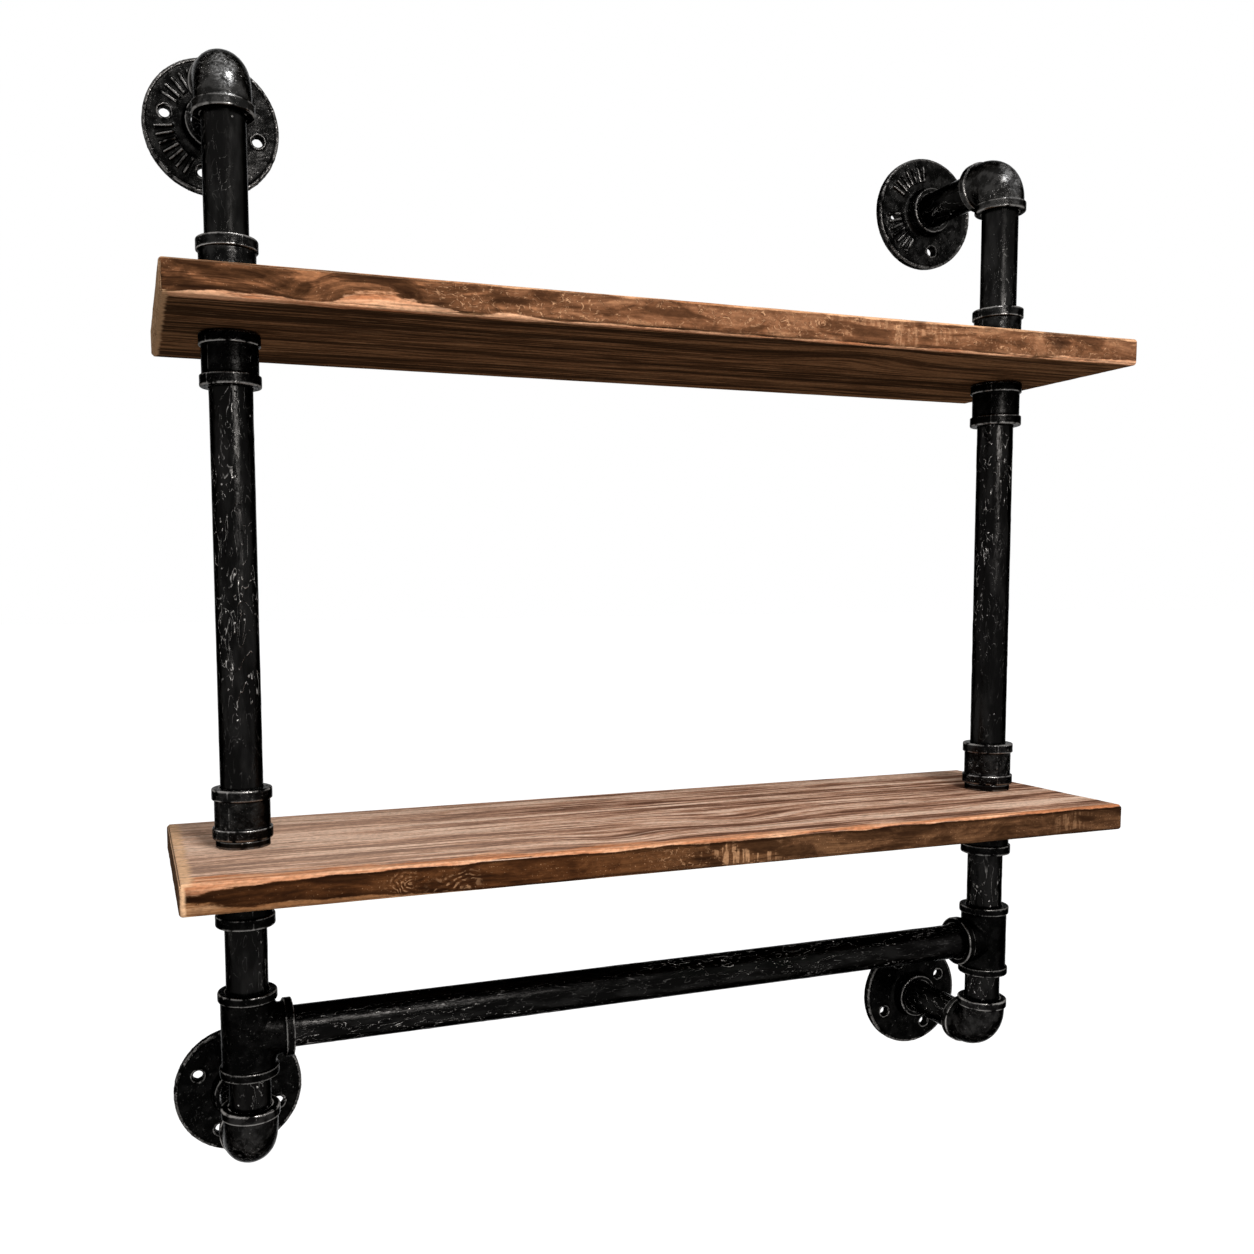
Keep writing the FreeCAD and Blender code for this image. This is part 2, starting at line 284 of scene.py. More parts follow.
def blended(tree, share, first, second):
    """A colour between two, each a colour or a socket."""
    mix = add_node(tree, "ShaderNodeMix", data_type="RGBA")
    for index, value in ((0, share), (6, first), (7, second)):
        if isinstance(value, bpy.types.NodeSocket):
            tree.links.new(value, mix.inputs[index])
        else:
            mix.inputs[index].default_value = value if index == 0 else (*value, 1.0)
    return mix.outputs[2]


def new_material(name, **constants):
    """A material, its one Principled shader, whose constant inputs are set by name, and its tree."""
    material = bpy.data.materials.new(name)
    material.use_nodes = True
    shader = material.node_tree.nodes["Principled BSDF"]
    for key, value in constants.items():
        shader.inputs[key.replace("_", " ")].default_value = value
    return material, shader, material.node_tree


def black_finish(name, size, stretch, gloss, relief, uneven, shades, wrinkled, rubbed, gritty, highlight_facing=None):
    """Black scale and lacquer over uneven iron, for finest marks of a size. Relief is how far wrinkles stand
    up, uneven the share of it between them, and shades those of thick and thin scale. The next three shares
    say how far bare iron shows on wrinkles, edges and specks, as wear and as painted highlights and glints.
    Highlight facing is the direction of the faces that get a pale patch, wear and painted highlight in one."""
    material, shader, tree = new_material(name, Metallic=1.0, Specular_Tint=(*RIM_TINT, 1.0))
    place = object_place(tree, stretch)
    lumps = noise(tree, place, LUMP_SIZES * size, detail=3.0, rough=0.55)
    film = noise(tree, place, size, detail=4.0, rough=0.6, distortion=0.6)
    patches = between(tree, noise(tree, place, PATCH_SIZES * size), 0.48, 0.60)
    lines = wandering_lines(tree, place, LINE_SIZES * size, LINE_WIDTH, distortion=1.2)
    lines = times(tree, lines, times_plus(tree, patches, 0.9, 0.1))
    shown = times(tree, lines, between(tree, film, 0.44, 0.56))
    dots = add_node(tree, "ShaderNodeTexVoronoi", {
        "Vector": object_place(tree), "Scale": 1 / (DOT_SIZES * size)}).outputs
    chance = add_node(tree, "ShaderNodeSeparateXYZ", {0: dots["Color"]}).outputs[0]
    chosen = between(tree, chance, *SPECK_CHOICE)
    specks = times(tree, between(tree, dots["Distance"], *SPECK_EDGE), chosen)
    sharpness = add_node(tree, "ShaderNodeNewGeometry").outputs["Pointiness"]
    edges = times(tree, between(tree, sharpness, *SHARP_EDGES), between(tree, lumps, 0.37, 0.51))

    height = times_plus(tree, lumps, 2.2 * uneven, times(tree, film, uneven))
    height = times_plus(tree, lines, 0.7, height)
    height = times_plus(tree, specks, 0.30, height)
    bump = add_node(tree, "ShaderNodeBump", {"Height": height, "Distance": relief, "Strength": 1.0})
    tree.links.new(bump.outputs[0], shader.inputs["Normal"])
    thick, thin = (tuple(grey * share for share in SCALE_TINT) for grey in shades)
    colour = blended(tree, between(tree, lumps, 0.42, 0.64), thick, thin)
    # A pale patch on the faces that look along highlight_facing: bare iron, and a painted highlight with it.
    if highlight_facing:
        normal = add_node(tree, "ShaderNodeNewGeometry").outputs["Normal"]
        facing = add_node(tree, "ShaderNodeVectorMath", {0: normal, 1: highlight_facing}, operation="DOT_PRODUCT")
        worn = times(tree, between(tree, facing.outputs["Value"], 0.84, 0.99),
                     between(tree, film, 0.40, 0.60, 0.2, 1.0))
        worn = times(tree, worn, between(tree, lumps, 0.38, 0.55, 0.3, 1.0))
        colour = blended(tree, worn, colour, WORN_HIGHLIGHT_GREY)
    # Bare iron on wrinkles, sharp edges and specks, pale under any lamp: wear, and painted highlights and
    # glints.
    bare_iron_and_glints = times(tree, shown, wrinkled)
    bare_iron_and_glints = maths(tree, "MAXIMUM", bare_iron_and_glints, times(tree, edges, rubbed))
    bare_iron_and_glints = maths(tree, "MAXIMUM", bare_iron_and_glints, times(tree, specks, gritty))
    tree.links.new(blended(tree, bare_iron_and_glints, colour, BARE_STEEL_AND_GLINT), shader.inputs["Base Color"])
    tree.links.new(between(tree, film, 0.38, 0.62, *gloss), shader.inputs["Roughness"])
    return material


def set_piece(piece, slot, *nodes):
    """Puts a piece on the shelf's one body, in place of its CAD nodes."""
    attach(piece, "root")
    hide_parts(*nodes)


def span(node):
    """The lowest corner, the size and the middle of a CAD node."""
    lowest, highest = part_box(node)
    return lowest, highest - lowest, (lowest + highest) / 2


uneven_skin = uneven_skin_tree()


def skinned(name, mesh, skin, finish, seed, stretch=EVEN):
    """A mesh as a named piece, with a finish and an uneven skin whose marks differ from seed to seed."""
    return grown(name, mesh, uneven_skin, {
        **dict(zip(SKIN_MARKS, skin)), "Stretch": stretch, "Seed": SEED_STEP * seed, "Finish": finish})


AXES = ("across", "to_wall", "upright")
pipe_stretches = [[PIPE_STRETCH if i == axis else 1.0 for i in range(3)] for axis in range(3)]
pipe_finishes = [black_finish(
    f"black_pipe_{word}", 2.3 * MM, pipe_stretches[axis], (0.13, 0.28), 0.55 * MM, 0.32,
    (0.0044, 0.0105), 0.85, 0.3, 0.7)
    for axis, word in enumerate(AXES)]
bar_finish = black_finish(
    "black_bar", 1.5 * MM, [BAR_STRETCH, 1.0, 1.0], (0.12, 0.26), 0.55 * MM, 0.28,
    (0.0034, 0.009), 0.9, 0.3, 0.3)
smooth_finish = black_finish(
    "black_pipe_smooth", 2.3 * MM, pipe_stretches[2], (0.17, 0.28), 0.16 * MM, 0.25,
    (0.0065, 0.0145), 0.06, 0.3, 0.4)
pipe_nodes = ["towel_bar"] + [f"{side}_{length}" for side in SIDES for length in PIPE_LENGTHS]
for number, node in enumerate(pipe_nodes):
    lowest, size, middle = span(node)
    axis = max(range(3), key=lambda i: size[i])
    radius = size[(axis + 1) % 3] / 2
    length = size[axis]
    bore = radius - PIPE_WALL
    tube = turned_mesh(node, rounded_outline([
        (PIPE_END_CHAMFER, radius, 0),
        (length - PIPE_END_CHAMFER, radius, 0),
        (length, radius - PIPE_END_CHAMFER, 0),
        (length, bore, 0, ONE_RUN),
        (0, bore, 0),
        (0, radius - PIPE_END_CHAMFER, 0),
    ], PIPE_STEP), PIPE_STEPS_ROUND)
    direction = [0.0, 0.0, 0.0]
    direction[axis] = 1.0
    foot = middle - Vector(direction) * length / 2
    lay_along(tube, foot, direction)
    skin, finish = PIPE_SKIN, pipe_finishes[axis]
    if node in SMOOTH_LENGTHS:
        skin, finish = SMOOTH_PIPE_SKIN, smooth_finish
    if node == "towel_bar":
        finish = bar_finish
    piece = skinned(f"{node}_tube", tube, skin, finish, number, pipe_stretches[axis])
    set_piece(piece, "black_pipe", node)

# Couplings: short sleeves of cast iron, threaded right through, with a raised band round each end. One stands
# over and one under each board at each pipe, and the nipple in the board draws the two together on it.
COUPLING_WALL = 3.9 * MM
FITTING_STEP = 0.85 * MM
FITTING_STEPS_ROUND = 132
BAND_MOUTH_ROUNDING = 1.2 * MM
BAND_EDGE_SHARE = 0.62
BAND_FILLET_SHARE = 0.34
COUPLING_BAND_STEP = 1.4 * MM
COUPLING_BAND_HEIGHT = 7.6 * MM
PARTING_LINE_RISE = 0.22 * MM
PARTING_LINE_WIDTH = 0.6 * MM
PARTING_LINE_FOOT = 1.5
COUPLING_TURNS = (114, 57, 37, 100, 12, 75, 40, 120)
CASTING_SKIN = (0.28 * MM, 9 * MM, 0.08 * MM, 2.1 * MM, 0.10 * MM, 7 * MM)
COUPLING_SEED = 40

coupling_finish = black_finish(
    "black_coupling", 1.7 * MM, EVEN, (0.14, 0.28), 0.36 * MM, 0.45, (0.0045, 0.017), 0.5, 0.55, 0.2)
# A darker copy of the black casting finish, with less bare iron, is painted shade for the castings that stand
# under the boards: the couplings under them, the tees and the lower flanges.
shaded_casting_finish = black_finish(
    "black_casting", 1.7 * MM, EVEN, (0.18, 0.34), 0.30 * MM, 0.5, (0.0015, 0.004), 0.12, 0.36, 0.05)


def banded_outline(length, band, step, height, bore, bore_run):
    """The outline of a sleeve with a raised band of a height round each end."""
    body = band - step
    return rounded_outline([
        (0, band, BAND_MOUTH_ROUNDING),
        (height, band, step * BAND_EDGE_SHARE),
        (height, body, step * BAND_FILLET_SHARE),
        (length - height, body, step * BAND_FILLET_SHARE),
        (length - height, band, step * BAND_EDGE_SHARE),
        (length, band, BAND_MOUTH_ROUNDING),
        (length, bore, 0, bore_run),
        (0, bore, 0),
    ], FITTING_STEP)


def with_parting_line(mesh, outside):
    """Raises the line that the two halves of the mould leave up each side of a sleeve."""
    points = np.array([vertex.co for vertex in mesh.vertices])
    out = np.hypot(points[:, 0], points[:, 1])
    nearness = np.clip(PARTING_LINE_FOOT - np.abs(points[:, 1]) / PARTING_LINE_WIDTH, 0, 1)
    points[:, :2] *= (1 + PARTING_LINE_RISE * nearness * (out > outside) / out)[:, None]
    mesh.vertices.foreach_set("co", points.ravel())


coupling_nodes = [f"{side}_coupling_{place}_{board}_board"
                  for side in SIDES for place in ("over", "under") for board in ("upper", "lower")]
for number, node in enumerate(coupling_nodes):
    lowest, size, middle = span(node)
    band = size.x / 2
    bore = band - COUPLING_BAND_STEP - COUPLING_WALL
    outline = banded_outline(size.z, band, COUPLING_BAND_STEP, COUPLING_BAND_HEIGHT, bore, ONE_RUN)
    sleeve = turned_mesh(node, outline, FITTING_STEPS_ROUND)
    with_parting_line(sleeve, (band + bore) / 2)
    sleeve.transform(Matrix.Rotation(math.radians(COUPLING_TURNS[number]), 4, "Z"))
    lay_along(sleeve, (middle.x, middle.y, lowest.z))
    # Couplings over a board take the lighter finish, those under it the darker copy, painted shade.
    finish = coupling_finish if "over" in node else shaded_casting_finish
    piece = skinned(f"{node}_casting", sleeve, CASTING_SKIN, finish, COUPLING_SEED + number)
    set_piece(piece, "black_casting", node)

# Spacer rings: plain turned washers, painted with the pipe. One lies under each coupling that stands on a
# board, so that the coupling's band is clear of the wood.
RING_WIDTH = 3.1 * MM
RING_ROUNDING = 0.5 * MM
RING_SKIN = (0.08 * MM, 12 * MM, 0.05 * MM, 2 * MM, 0.0, 9 * MM)
RING_SEED = 80

ring_nodes = [f"{side}_spacer_ring_on_{board}_board" for side in SIDES for board in ("upper", "lower")]
for number, node in enumerate(ring_nodes):
    lowest, size, middle = span(node)
    ring = turned_mesh(node, rounded_outline([
        (0, size.x / 2, 0),
        (size.z, size.x / 2, RING_ROUNDING),
        (size.z, size.x / 2 - RING_WIDTH, 0),
        (0, size.x / 2 - RING_WIDTH, 0),
    ], FITTING_STEP), FITTING_STEPS_ROUND)
    lay_along(ring, (middle.x, middle.y, lowest.z))
    piece = skinned(f"{node}_turning", ring, RING_SKIN, smooth_finish, RING_SEED + number)
    set_piece(piece, "black_pipe", node)

# Elbows: cast iron bends with a banded socket at each end. The upper ones turn from the uprights back to the
# wall, and the lower ones turn back in the same way from below.
ELBOW_WALL = 3.8 * MM
ELBOW_BAND_STEP = 1.5 * MM
ELBOW_BAND_HEIGHT = 6.8 * MM
ELBOW_BEND_CORE = 0.7 * MM
ELBOW_BORE_RUN = 2.6 * MM
# Faces of the upper elbows that look forward and up, towards the lamps, take a pale patch: bare iron and
# painted highlight.
PAINTED_HIGHLIGHT_FACING = (0.0, -0.87, 0.49)
ELBOW_SEED = 100

# The upper elbows' finish is lighter than the other castings and carries that painted highlight patch.
highlit_elbow_finish = black_finish(
    "black_elbow_painted_highlight", 1.6 * MM, EVEN, (0.14, 0.28), 0.20 * MM, 0.45, (0.012, 0.036),
    0.8, 0.3, 0.3, PAINTED_HIGHLIGHT_FACING)


def bend_back(mesh, straight, bend_radius):
    """Bends a sleeve that stands on the origin back towards the wall, past its straight end."""
    points = np.array([vertex.co for vertex in mesh.vertices])
    along = points[:, 2] - straight
    turn = np.clip(along / bend_radius, 0, math.pi / 2)
    past = along - turn * bend_radius
    from_pivot = bend_radius - points[:, 1]
    points[:, 1] = bend_radius - from_pivot * np.cos(turn) + past * np.sin(turn)
    points[:, 2] = straight + from_pivot * np.sin(turn) + past * np.cos(turn)
    mesh.vertices.foreach_set("co", points.ravel())


elbow_nodes = [(side, level) for side in SIDES for level in ("upper", "lower")]
for number, (side, level) in enumerate(elbow_nodes):
    node = f"{side}_{level}_elbow"
    lowest, size, middle = span(node)
    band = size.x / 2
    bore = band - ELBOW_BAND_STEP - ELBOW_WALL
    reach = size.z - band
    bend_radius = band - ELBOW_BAND_STEP + ELBOW_BEND_CORE
    straight = reach - bend_radius
    length = 2 * straight + bend_radius * math.pi / 2
    outline = banded_outline(length, band, ELBOW_BAND_STEP, ELBOW_BAND_HEIGHT, bore, ELBOW_BORE_RUN)
    sleeve = turned_mesh(node, outline, FITTING_STEPS_ROUND)
    bend_back(sleeve, straight, bend_radius)
    if level == "lower":
        sleeve.transform(Matrix.Rotation(math.pi, 4, "Y"))
    mouth_z = lowest.z if level == "upper" else lowest.z + size.z
    lay_along(sleeve, (middle.x, lowest.y + band, mouth_z))
    finish = highlit_elbow_finish if level == "upper" else coupling_finish
    piece = skinned(f"{node}_casting", sleeve, CASTING_SKIN, finish, ELBOW_SEED + number)
    set_piece(piece, "black_casting", node)

# Tees: cast iron, with a band round each of three sockets and a soft blend where the branch leaves the run.
# They carry the towel bar between them.
CASTING_GRAIN = 0.62 * MM
SAME_POINT = 0.002 * MM
TEE_SMOOTHING = 4
TEE_SEED = 120


def merged(mesh, added=()):
    """A new mesh: the given one with its doubled points made one, and others added to it as they are."""
    work = bmesh.new()
    work.from_mesh(mesh)
    bmesh.ops.remove_doubles(work, verts=work.verts, dist=SAME_POINT)
    for extra in added:
        work.from_mesh(extra)
    joined = bpy.data.meshes.new(mesh.name)
    work.to_mesh(joined)
    work.free()
    return joined


def recast(node, smoothing, added=()):
    """The CAD node with what is added to it as one skin of small even faces, softened as a casting is."""
    piece = add_object(node, merged(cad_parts[node].data, added))
    remesh = piece.modifiers.new("even_faces", "REMESH")
    remesh.mode = "VOXEL"
    remesh.voxel_size = CASTING_GRAIN
    remesh.use_smooth_shade = True
    soften = piece.modifiers.new("soften", "SMOOTH")
    soften.iterations = smoothing
    mesh = shaped(piece)
    bpy.data.objects.remove(piece)
    return mesh


for number, side in enumerate(SIDES):
    node = f"{side}_tee"
    tee = recast(node, TEE_SMOOTHING)
    # The tees, under the lower board, take the darker copy, painted shade.
    piece = skinned(f"{node}_casting", tee, CASTING_SKIN, shaded_casting_finish, TEE_SEED + number)
    set_piece(piece, "black_casting", node)

# Wall flanges: round cast iron plates with a threaded hub for the wall nipple, a lipped rim and four holes
# for screws in raised bosses. The upper ones carry raised marks, here plain ribs, the lower ones none.
FLANGE_SMOOTHING = 3
FLANGE_SKIN = (0.2 * MM, 7 * MM, 0.12 * MM, 1.9 * MM, 0.22 * MM, 7 * MM)
RIB_GROUPS = {"upper": (96, 186), "lower": ()}
RIB_COUNT = 7
RIB_SWEEP = 54
RIB_INNER = (25.0 * MM, 8.1 * MM)
RIB_OUTER = (37.5 * MM, 7.5 * MM)
RIB_WIDTH = 2.6 * MM
RIB_SIDES = 10
FLANGE_SEED = 140


def raised_ribs_tree():
    """A group of straight ribs with round backs that stand out from a hub like spokes."""
    tree, given, result = geometry_tree("Raised ribs", {
        "Count": "Int", "First angle": "Float", "Sweep": "Float", "Width": "Float", "Finish": "Material",
        "Inner radius": "Float", "Inner height": "Float", "Outer radius": "Float", "Outer height": "Float"})
    ends = [xyz(tree, given[f"{end} radius"], 0.0, given[f"{end} height"]) for end in ("Inner", "Outer")]
    line = add_node(tree, "GeometryNodeCurvePrimitiveLine", {"Start": ends[0], "End": ends[1]}).outputs[0]
    half_width = maths(tree, "DIVIDE", given["Width"], 2.0)
    round_back = add_node(tree, "GeometryNodeCurvePrimitiveCircle", {
        "Resolution": RIB_SIDES, "Radius": half_width}).outputs[0]
    rib = add_node(tree, "GeometryNodeCurveToMesh", {
        "Curve": line, "Profile Curve": round_back, "Fill Caps": True}).outputs[0]
    places = add_node(tree, "GeometryNodeMeshLine", {"Count": given["Count"], "Offset": (0, 0, 0)}).outputs[0]
    step = maths(tree, "DIVIDE", given["Sweep"], maths(tree, "SUBTRACT", given["Count"], 1.0))
    index = add_node(tree, "GeometryNodeInputIndex").outputs[0]
    angle = times_plus(tree, index, step, given["First angle"])
    ribs = add_node(tree, "GeometryNodeInstanceOnPoints", {
        "Points": places, "Instance": rib, "Rotation": xyz(tree, z=angle)}).outputs[0]
    end_tree(tree, ribs, given["Finish"], result)
    return tree


flange_finish = black_finish(
    "black_flange", 1.6 * MM, EVEN, (0.18, 0.34), 0.45 * MM, 0.55, (0.0035, 0.016), 0.40, 0.34, 0.08)
raised_ribs = raised_ribs_tree()
flange_nodes = [(side, level) for side in SIDES for level in ("upper", "lower")]
for number, (side, level) in enumerate(flange_nodes):
    node = f"{side}_{level}_wall_flange"
    lowest, size, middle = span(node)
    facing_out = Matrix.Translation((middle.x, 0, middle.z)) @ Matrix.Rotation(math.pi / 2, 4, "X")
    groups = []
    for group in RIB_GROUPS[level]:
        ribs = grown(f"{node}_ribs_{group}", bpy.data.meshes.new(node), raised_ribs, {
            "Count": RIB_COUNT, "First angle": math.radians(group),
            "Sweep": math.radians(RIB_SWEEP), "Width": RIB_WIDTH, "Finish": flange_finish,
            "Inner radius": RIB_INNER[0], "Inner height": RIB_INNER[1],
            "Outer radius": RIB_OUTER[0], "Outer height": RIB_OUTER[1]})
        ribs.data.transform(facing_out)
        groups.append(ribs.data)
        bpy.data.objects.remove(ribs)
    plate = recast(node, FLANGE_SMOOTHING, groups)
    # The lower flanges take the darker copy, painted shade; the upper ones have their own finish.
    finish = flange_finish if level == "upper" else shaded_casting_finish
    piece = skinned(f"{node}_casting", plate, FLANGE_SKIN, finish, FLANGE_SEED + number)
    set_piece(piece, "black_casting", node)

# Boards: solid softwood planks, sawn, stained dark and rubbed back along the edges, then waxed. Each is bored
# for its two nipples and held between a coupling under it and a ring over it.
BOARD_ROUNDING = 2.6 * MM
BOARD_SPACING = (4.2 * MM, 1.45 * MM, 1.45 * MM)
BOARD_EDGE_STEPS = 5
BOARD_ARRIS_WEAR = 1.1 * MM
BOARD_WEAR_RUN = 17 * MM
BOARD_HOLE_CLEARANCE = 0.65 * MM
BOARD_HOLE_STEPS = 64
BOARD_SKIN = (0.5 * MM, 22 * MM, 0.25 * MM, 4 * MM, 0.0, 9 * MM)
BOARD_STRETCH = (0.12, 1.0, 1.0)
BOARD_SEED = 160
BOARD_WEAR_SEED = 11
WANDER_SIZE = 60 * MM
WANDER_ASIDE = 10 * MM
WANDER_UP = 6 * MM
KNOT_LENGTH = 1.7
FIGURE_STRETCH = 0.025
FIGURE_SIZE = 15 * MM
FIBRE_STRETCH = 0.045
FIBRE_SIZE = 2.6 * MM
CRACKS = (7 * MM, 0.022)
PALE_LINES = (9 * MM, 0.018)
FLECK_SIZE = 1.6 * MM
RING_WANDER_SIZE = 25 * MM
RING_WANDER = 12 * MM
CLOUD_SIZE = 14 * MM
CURLS = (7 * MM, 0.026)
STROKE_SIZE = 2.2 * MM
SAW_TOOTH_SIZE = 2.4 * MM
GLINT_SIZE = 1.1 * MM
WOBBLE_SIZE = 9 * MM
WHORL_WOBBLE = 13 * MM
SPOT_WOBBLE = 6 * MM
SPOT_EASE = 3 * MM
FRAY_SIZE = 9 * MM
WIDEST_STRIP = 20.0
WHORL_STRETCH = 0.6
PITH_ASIDE = 35 * MM
PITH_BELOW = 42 * MM
GROWTH_RING = 3.4 * MM
MARKS_EASE = 0.02
WOOD_SHINE = 0.0
WOOD_GLOSS = (0.85, 0.6)
WOOD_RELIEF = 0.5 * MM


def stations(length, rounding, spacing):
    """Places along one edge of a board, closer together where its ends are rounded."""
    inner = np.linspace(rounding, length - rounding, math.ceil((length - 2 * rounding) / spacing) + 1)
    edge = np.linspace(0, rounding, BOARD_EDGE_STEPS, endpoint=False)
    return np.concatenate([edge, inner, (length - edge)[::-1]])


def plank_mesh(name, lowest, size, random):
    """A plank with rounded edges, worn unevenly along them, as one closed skin of quads."""
    places = [stations(size[i], BOARD_ROUNDING, BOARD_SPACING[i]) for i in range(3)]
    counts = [len(place) for place in places]
    lattice = np.stack(np.meshgrid(*places, indexing="ij"), -1)
    edge_of = [(np.arange(count) == 0) | (np.arange(count) == count - 1) for count in counts]
    on_skin = edge_of[0][:, None, None] | edge_of[1][None, :, None] | edge_of[2][None, None, :]
    index = np.full(counts, -1)
    index[on_skin] = np.arange(on_skin.sum())
    points = lattice[on_skin]
    faces = []
    for axis in range(3):
        for end in (0, -1):
            sheet = np.moveaxis(index, axis, 0)[end]
            quads = [sheet[:-1, :-1], sheet[1:, :-1], sheet[1:, 1:], sheet[:-1, 1:]]
            if (axis == 1) == (end == -1):
                quads.reverse()
            faces.append(np.stack(quads, -1).reshape(-1, 4))
    core = np.clip(points, BOARD_ROUNDING, np.array(size) - BOARD_ROUNDING)
    outward = points - core
    outward /= np.linalg.norm(outward, axis=1)[:, None]
    points = core + outward * BOARD_ROUNDING
    stops = np.arange(-2, size[0] / BOARD_WEAR_RUN + 2) * BOARD_WEAR_RUN
    edgeness = (1 - np.abs(outward).max(1)) / (1 - math.sqrt(0.5))
    for high in (0, 1):
        for near in (0, 1):
            wear = np.interp(points[:, 0], stops, random.random(len(stops)) ** 2)
            mine = ((outward[:, 2] > 0) == high) & ((outward[:, 1] > 0) == near)
            points -= outward * (BOARD_ARRIS_WEAR * wear * edgeness * mine)[:, None]
    mesh = bpy.data.meshes.new(name)
    mesh.from_pydata((points + np.array(lowest)).tolist(), [], np.concatenate(faces).tolist())
    return mesh


def bored(mesh, bores):
    """The mesh with round bores cut through it."""
    piece = add_object(mesh.name, mesh)
    cutters = []
    for number, (place, radius, height) in enumerate(bores):
        drill = np.array([(-height, 0), (-height, radius), (height, radius), (height, 0)])
        cutter = add_object(f"bore_{number}", merged(turned_mesh("bore", drill, BOARD_HOLE_STEPS)))
        cutter.data.transform(Matrix.Translation(place))
        cut = piece.modifiers.new(cutter.name, "BOOLEAN")
        cut.operation = "DIFFERENCE"
        cut.solver = "EXACT"
        cut.object = cutter
        cutters.append(cutter)
    result = shaped(piece)
    for used in (piece, *cutters):
        bpy.data.objects.remove(used)
    return result


def shade(colour):
    """A colour as the shaders need it, from the 0 to 255 that a screen shows."""
    screen = (channel / 255 for channel in colour)
    return tuple(c / 12.92 if c <= 0.04045 else ((c + 0.055) / 1.055) ** 2.4 for c in screen)


def ramp(tree, value, colours):
    """A colour that runs evenly through screen colours as the value runs from 0 to 1."""
    node = add_node(tree, "ShaderNodeValToRGB", {0: value})
    elements = node.color_ramp.elements
    first, *inner, last = ((*shade(colour), 1) for colour in colours)
    elements[0].color, elements[-1].color = first, last
    for i, colour in enumerate(inner):
        elements.new((i + 1) / (len(colours) - 1)).color = colour
    return node.outputs[0]


def along_board(tree, share, widths):
    """A width in metres that changes along the board, from points (share of the length, width in mm)."""
    node = add_node(tree, "ShaderNodeFloatCurve", {"Value": share})
    curve = node.mapping.curves[0]
    while len(curve.points) < len(widths):
        curve.points.new(0.5, 0.5)
    for point, (where, width) in zip(curve.points, widths):
        point.location = (where, width / WIDEST_STRIP)
        point.handle_type = "AUTO_CLAMPED"
    node.mapping.update()
    return times(tree, node.outputs[0], WIDEST_STRIP * MM)


def along_share(tree, share, stretches):
    """The strength inside each stretch (start, end, strength) of the board's length, easing to 0 outside."""
    inside = 0.0
    for start, end, strength in stretches:
        rise = between(tree, share, start - MARKS_EASE, start + MARKS_EASE, 0.0, strength)
        fall = between(tree, share, end + MARKS_EASE, end - MARKS_EASE)
        inside = times_plus(tree, rise, fall, inside)
    return inside


def distance(tree, place, spot):
    """How far a place is from a spot."""
    return add_node(tree, "ShaderNodeVectorMath", {0: place, 1: spot}, operation="DISTANCE").outputs["Value"]


